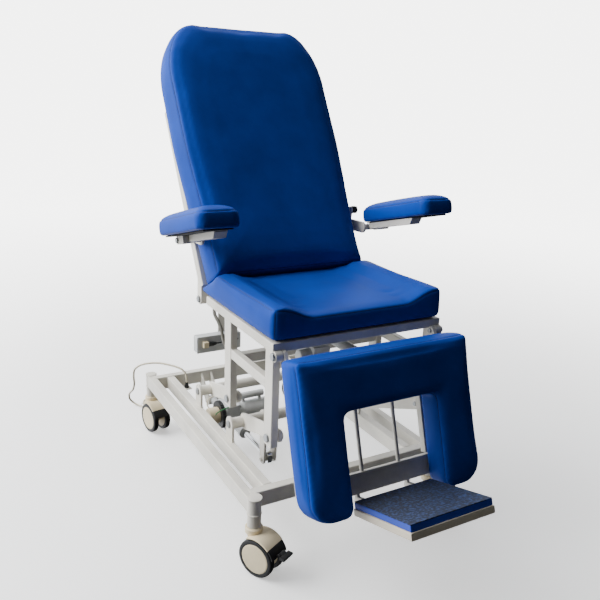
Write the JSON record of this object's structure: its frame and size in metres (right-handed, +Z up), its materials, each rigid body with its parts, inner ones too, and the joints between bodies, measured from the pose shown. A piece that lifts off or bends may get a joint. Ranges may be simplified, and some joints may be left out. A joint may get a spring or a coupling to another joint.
{
  "type": "dialysis chair",
  "caption": "Reclining dialysis chair: padded seat, back, arm and leg rests on an electric lift base with parallel arms, twin-wheel casters, folding footplate and mains cord.",
  "frame": {"origin": "on the floor under the middle of the chair's box, without the cord", "axes": "+Z up; the chair faces -Y; +X to the sitter's left"},
  "size_m": [0.85, 1.6755, 1.51],
  "materials": {
    "beige_plastic": "satin",
    "black_plastic": "matte",
    "blue_vinyl": "smooth",
    "board": "painted",
    "chrome": "polished",
    "cord": "smooth",
    "grey_plastic": "satin",
    "ivory_paint": "powder coat",
    "mat": "grained",
    "tan_paint": "satin",
    "tyre": "matte",
    "zinc": "zinc plated"
  },
  "bodies": {
    "base": {"base_frame": "ivory_paint", "front_pivot_shaft": "zinc", "rear_pivot_shaft": "zinc", "lift_actuator_body": "grey_plastic", "lift_motor": "grey_plastic", "lift_gear_cover": "black_plastic", "cord_gland": "black_plastic", "mains_cord": "cord", "cord_coil": "cord", "mains_plug": "black_plastic"},
    "front_arm": {"front_lift_arm": "ivory_paint"},
    "rear_arm": {"rear_lift_arm": "ivory_paint"},
    "lift_rod": {"lift_rod": "chrome"},
    "seat": {"seat_frame": "ivory_paint", "lift_pin_front_left": "zinc", "lift_pin_front_right": "zinc", "lift_pin_rear_left": "zinc", "lift_pin_rear_right": "zinc", "leg_hinge_pin_left": "zinc", "leg_hinge_pin_right": "zinc", "back_hinge_pin_left": "zinc", "back_hinge_pin_right": "zinc", "seat_board": "board", "seat_cushion": "blue_vinyl", "back_actuator": "grey_plastic", "leg_actuator": "grey_plastic", "control_box": "grey_plastic", "control_plug": "black_plastic", "seat_cable": "cord"},
    "back_rod": {"back_rod": "chrome"},
    "leg_rod": {"leg_rod": "chrome"},
    "backrest": {"backrest_frame": "ivory_paint", "backrest_board": "board", "backrest_cushion": "blue_vinyl", "arm_bracket_left": "ivory_paint", "arm_bracket_right": "ivory_paint", "arm_knob_left": "black_plastic", "arm_knob_right": "black_plastic", "arm_bolt_left": "zinc", "arm_bolt_right": "zinc"},
    "left_arm": {"arm_beam_left": "ivory_paint", "arm_pad_left": "blue_vinyl"},
    "right_arm": {"arm_beam_right": "ivory_paint", "arm_pad_right": "blue_vinyl"},
    "legrest": {"legrest_frame": "ivory_paint", "legrest_cushion": "blue_vinyl"},
    "footrest": {"footrest_slider": "ivory_paint", "footplate_hinge_pin": "zinc"},
    "footplate": {"footplate_tray": "tan_paint", "foot_mat": "mat"},
    "caster_front_left": {"caster_housing_front_left": "beige_plastic"},
    "wheels_front_left": {"caster_wheels_front_left": "tyre"},
    "pedal_front_left": {"brake_pedal_front_left": "beige_plastic"},
    "caster_front_right": {"caster_housing_front_right": "beige_plastic"},
    "wheels_front_right": {"caster_wheels_front_right": "tyre"},
    "pedal_front_right": {"brake_pedal_front_right": "beige_plastic"},
    "caster_rear_left": {"caster_housing_rear_left": "beige_plastic"},
    "wheels_rear_left": {"caster_wheels_rear_left": "tyre"},
    "caster_rear_right": {"caster_housing_rear_right": "beige_plastic"},
    "wheels_rear_right": {"caster_wheels_rear_right": "tyre"}
  },
  "joints": [
    {"name": "lift", "type": "hinge", "parent": "base", "child": "front_arm", "pos_m": [0, 0.0713, 0.281], "axis": [-1, 0, 0], "range_deg": [-9.5, 21]},
    {"name": "rear_arm_turn", "type": "hinge", "parent": "base", "child": "rear_arm", "pos_m": [0, 0.3463, 0.281], "axis": [-1, 0, 0], "range_deg": [-9.5, 21]},
    {"name": "seat_level", "type": "hinge", "parent": "front_arm", "child": "seat", "pos_m": [0, -0.2562, 0.4], "axis": [-1, 0, 0], "range_deg": [-21, 9.5]},
    {"name": "lift_rod_slide", "type": "slide", "parent": "base", "child": "lift_rod", "axis": [0, -1, 0], "range_m": [-0.0259, 0.0571]},
    {"name": "recline", "type": "hinge", "parent": "seat", "child": "backrest", "pos_m": [0, 0.2523, 0.655], "axis": [-1, 0, 0], "range_deg": [0, 58]},
    {"name": "back_rod_slide", "type": "slide", "parent": "seat", "child": "back_rod", "axis": [0, -1, 0], "range_m": [0, 0.0971]},
    {"name": "leg_raise", "type": "hinge", "parent": "seat", "child": "legrest", "pos_m": [0, -0.2807, 0.648], "axis": [-1, 0, 0], "range_deg": [-5, 70]},
    {"name": "leg_rod_slide", "type": "slide", "parent": "seat", "child": "leg_rod", "axis": [0, -1, 0], "range_m": [-0.007, 0.0968]},
    {"name": "footrest_extend", "type": "slide", "parent": "legrest", "child": "footrest", "axis": [0, -0.3064, -0.9519], "range_m": [0, 0.08]},
    {"name": "footplate_fold", "type": "hinge", "parent": "footrest", "child": "footplate", "pos_m": [0, -0.46629, 0.26372], "axis": [-1, 0, 0], "range_deg": [0, 88]},
    {"name": "left_arm_tilt", "type": "hinge", "parent": "backrest", "child": "left_arm", "pos_m": [-0.349, 0.1833, 0.87], "axis": [-1, 0, 0], "range_deg": [-60, 55]},
    {"name": "right_arm_tilt", "type": "hinge", "parent": "backrest", "child": "right_arm", "pos_m": [0.349, 0.1833, 0.87], "axis": [-1, 0, 0], "range_deg": [-60, 55]},
    {"name": "swivel_front_left", "type": "hinge", "parent": "base", "child": "caster_front_left", "pos_m": [-0.3165, -0.2637, 0.1365], "axis": [0, 0, 1], "continuous": true},
    {"name": "roll_front_left", "type": "hinge", "parent": "caster_front_left", "child": "wheels_front_left", "pos_m": [-0.30288, -0.29043, 0.0575], "axis": [0.891, 0.454, 0], "continuous": true},
    {"name": "brake_front_left", "type": "hinge", "parent": "caster_front_left", "child": "pedal_front_left", "pos_m": [-0.27201, -0.35102, 0.0855], "axis": [0.891, 0.454, 0], "range_deg": [0, 12]},
    {"name": "swivel_front_right", "type": "hinge", "parent": "base", "child": "caster_front_right", "pos_m": [0.3165, -0.2637, 0.1365], "axis": [0, 0, 1], "continuous": true},
    {"name": "roll_front_right", "type": "hinge", "parent": "caster_front_right", "child": "wheels_front_right", "pos_m": [0.33578, -0.28668, 0.0575], "axis": [0.766, 0.6428, 0], "continuous": true},
    {"name": "brake_front_right", "type": "hinge", "parent": "caster_front_right", "child": "pedal_front_right", "pos_m": [0.37949, -0.33877, 0.0855], "axis": [0.766, 0.6428, 0], "range_deg": [0, 12]},
    {"name": "swivel_rear_left", "type": "hinge", "parent": "base", "child": "caster_rear_left", "pos_m": [-0.3165, 0.6813, 0.1365], "axis": [0, 0, 1], "continuous": true},
    {"name": "roll_rear_left", "type": "hinge", "parent": "caster_rear_left", "child": "wheels_rear_left", "pos_m": [-0.31129, 0.65176, 0.0575], "axis": [0.9848, 0.1736, 0], "continuous": true},
    {"name": "swivel_rear_right", "type": "hinge", "parent": "base", "child": "caster_rear_right", "pos_m": [0.3165, 0.6813, 0.1365], "axis": [0, 0, 1], "continuous": true},
    {"name": "roll_rear_right", "type": "hinge", "parent": "caster_rear_right", "child": "wheels_rear_right", "pos_m": [0.32918, 0.65411, 0.0575], "axis": [0.9063, 0.4226, 0], "continuous": true}
  ],
  "couplings": [
    {"joint": "rear_arm_turn", "follows": "lift", "ratio": 1},
    {"joint": "seat_level", "follows": "lift", "ratio": -1},
    {"joint": "lift_rod_slide", "follows": "lift", "m_per_rad": 0.1556},
    {"joint": "back_rod_slide", "follows": "recline", "m_per_rad": 0.0958},
    {"joint": "leg_rod_slide", "follows": "leg_raise", "m_per_rad": 0.0791}
  ]
}
